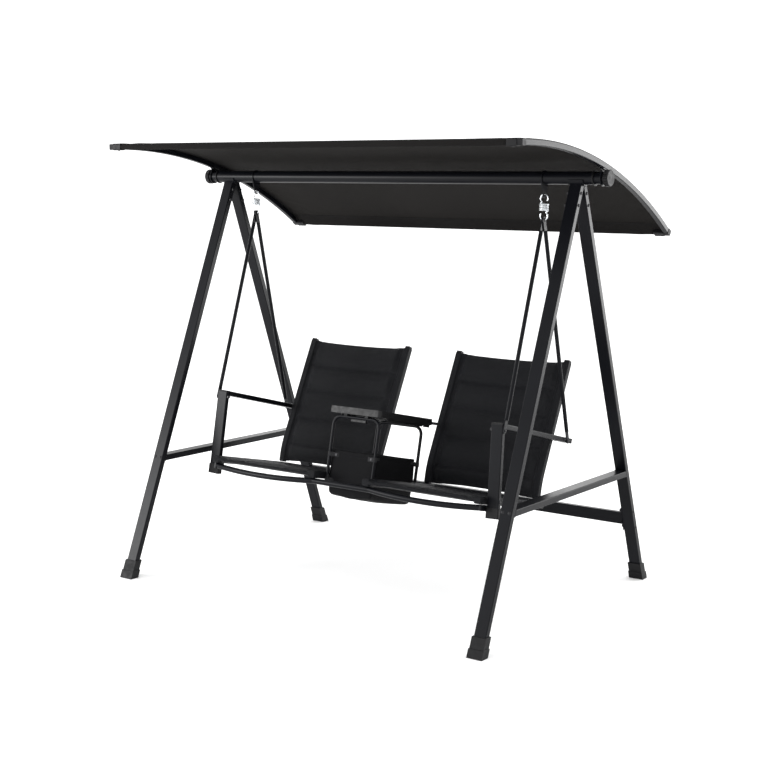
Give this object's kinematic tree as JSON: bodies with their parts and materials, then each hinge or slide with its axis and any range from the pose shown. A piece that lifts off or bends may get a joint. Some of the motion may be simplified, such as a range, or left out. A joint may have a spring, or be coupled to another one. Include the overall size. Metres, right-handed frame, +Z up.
{
  "type": "canopy porch swing",
  "caption": "Free-standing garden porch swing: twin padded sling seats with a shared console hang on sprung rods from an A-frame under a tilting fabric canopy.",
  "frame": {"origin": "on the ground, under the middle of the main beam", "axes": "+X along the beam to the sitter's left, seen from the front as the right; +Y to the rear; +Z up"},
  "size_m": [1.982, 1.359, 1.8057],
  "materials": {
    "frame": "satin black powder coat",
    "moulded": "fine-grained black plastic",
    "zinc": "bright zinc plating",
    "fastener": "black-coated steel",
    "canopy_cloth": "woven polyester",
    "sling": "padded woven sling mesh",
    "bag_cloth": "woven polyester"
  },
  "bodies": {
    "stand": {"main_beam": "frame", "beam_end_plugs": "moulded", "leg_brackets": "frame", "hanger_tabs": "frame", "leg_front_left": "frame", "leg_front_right": "frame", "leg_rear_left": "frame", "leg_rear_right": "frame", "foot_caps": "moulded", "side_brace_left": "frame", "side_brace_right": "frame", "rear_brace": "frame", "leg_bolts": "fastener", "brace_bolts": "fastener"},
    "canopy": {"canopy_bracket_left": "frame", "canopy_bracket_right": "frame", "canopy_arc_left": "frame", "canopy_arc_right": "frame", "canopy_bar_front": "frame", "canopy_bar_rear": "frame", "canopy_corner_joints": "moulded", "canopy_corner_bolts": "fastener", "canopy_fabric": "canopy_cloth"},
    "knob_left": {"tilt_knob_left": "moulded"},
    "knob_right": {"tilt_knob_right": "moulded"},
    "springs": {"spring_left": "zinc", "spring_right": "zinc"},
    "bushes": {"hanger_bushes": "moulded"},
    "seat": {"arm_end_caps": "moulded", "arm_post_left": "frame", "arm_post_right": "frame", "armrest_left": "frame", "armrest_right": "frame", "back_low_bars": "frame", "back_rails_left": "frame", "back_rails_right": "frame", "back_sling_left": "sling", "back_sling_right": "sling", "back_top_bars": "frame", "bag_studs": "fastener", "console_cross_bars": "frame", "console_frame_front": "frame", "console_frame_rear": "frame", "hanger_rod_front_left": "frame", "hanger_rod_front_right": "frame", "hanger_rod_rear_left": "frame", "hanger_rod_rear_right": "frame", "rail_end_caps": "moulded", "seat_bolts": "fastener", "seat_front_bars": "frame", "seat_rails_left": "frame", "seat_rails_right": "frame", "seat_rear_bars": "frame", "seat_sling_left": "sling", "seat_sling_right": "sling", "storage_bag": "bag_cloth", "table_catch": "moulded", "table_clips": "moulded", "table_stays": "frame", "table_top": "moulded"}
  },
  "joints": [
    {"name": "canopy_tilt", "type": "hinge", "parent": "stand", "child": "canopy", "pos_m": [0, 0, 1.68], "axis": [1, 0, 0], "range_deg": [-12, 12]},
    {"name": "knob_left_turn", "type": "hinge", "parent": "stand", "child": "knob_left", "pos_m": [-0.975, 0, 1.68], "axis": [-1, 0, 0], "continuous": true},
    {"name": "knob_right_turn", "type": "hinge", "parent": "stand", "child": "knob_right", "pos_m": [0.975, 0, 1.68], "axis": [1, 0, 0], "continuous": true},
    {"name": "swing", "type": "hinge", "parent": "stand", "child": "springs", "pos_m": [0, 0, 1.619], "axis": [1, 0, 0], "range_deg": [-18, 18]},
    {"name": "spring_stretch", "type": "slide", "parent": "springs", "child": "bushes", "axis": [0, 0, -1], "range_m": [0, 0.02], "stiffness_N_per_m": 20000, "springref_m": -0.025, "deforming": ["spring_left", "spring_right"]},
    {"name": "seat_rock", "type": "hinge", "parent": "bushes", "child": "seat", "pos_m": [0, 0, 1.5215], "axis": [1, 0, 0], "range_deg": [-5, 5]}
  ]
}
